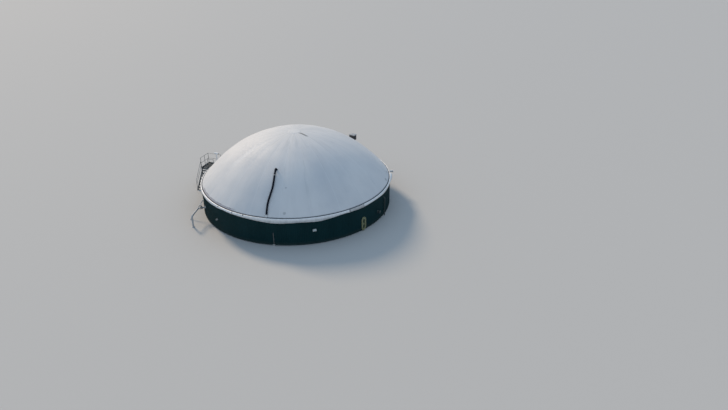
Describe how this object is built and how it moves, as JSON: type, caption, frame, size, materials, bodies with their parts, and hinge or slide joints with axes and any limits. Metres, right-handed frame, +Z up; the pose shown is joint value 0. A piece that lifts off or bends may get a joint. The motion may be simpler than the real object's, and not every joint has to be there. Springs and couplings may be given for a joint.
{
  "type": "biogas digester",
  "caption": "Round concrete biogas digester clad in green sheet, with an inflated membrane dome, rain skirt, air duct, vents and a service platform with a stair.",
  "frame": {"origin": "centre of the tank's foot, on the ground", "axes": "+Z up along the tank's axis, -Y towards the viewer of the picture, +X to the viewer's right"},
  "size_m": [20.6648, 18.8128, 7.3088],
  "materials": {
    "concrete": "matte",
    "cladding": "satin",
    "membrane": "satin coated",
    "hem": "satin coated",
    "rail": "dull",
    "duct": "matte",
    "white": "satin",
    "steel": "galvanised",
    "dark": "matte",
    "grey": "matte",
    "hose": "matte"
  },
  "bodies": {
    "root": {"air_duct": "duct", "air_elbow": "duct", "crown_patch": "hem", "dome_membrane": "membrane", "feed_pipe_stub": "white", "floor_slab": "concrete", "gas_pipe_stub": "white", "gate_valve": "white", "hose_coupling": "steel", "hose_hank": "hose", "hose_hook": "steel", "inlet_stub_right": "grey", "membrane_clamp_rail": "rail", "platform_deck": "steel", "platform_frame": "steel", "platform_front_rail": "steel", "platform_railing": "steel", "rail_nozzle": "white", "rain_skirt": "hem", "relief_box": "dark", "relief_lid": "grey", "relief_riser": "steel", "sampling_stub_left": "grey", "sloping_pipe": "grey", "stair_rail_inner": "steel", "stair_rail_outer": "steel", "stair_stringer_inner": "steel", "stair_stringer_outer": "steel", "stair_tread_1": "steel", "stair_tread_2": "steel", "stair_tread_3": "steel", "stair_tread_4": "steel", "stair_tread_5": "steel", "stair_tread_6": "steel", "stair_tread_7": "steel", "substrate_pipe_ground": "grey", "substrate_pipe_wall": "grey", "tank_wall_1": "concrete", "tank_wall_2": "concrete", "tank_wall_3": "concrete", "tank_wall_4": "concrete", "vent_head": "white", "vent_pipe": "white", "wall_cladding_1": "cladding", "wall_cladding_2": "cladding", "wall_cladding_3": "cladding", "wall_cladding_4": "cladding", "wall_conduit": "grey", "wall_junction_box": "white", "wall_riser_right": "grey"}
  },
  "joints": []
}
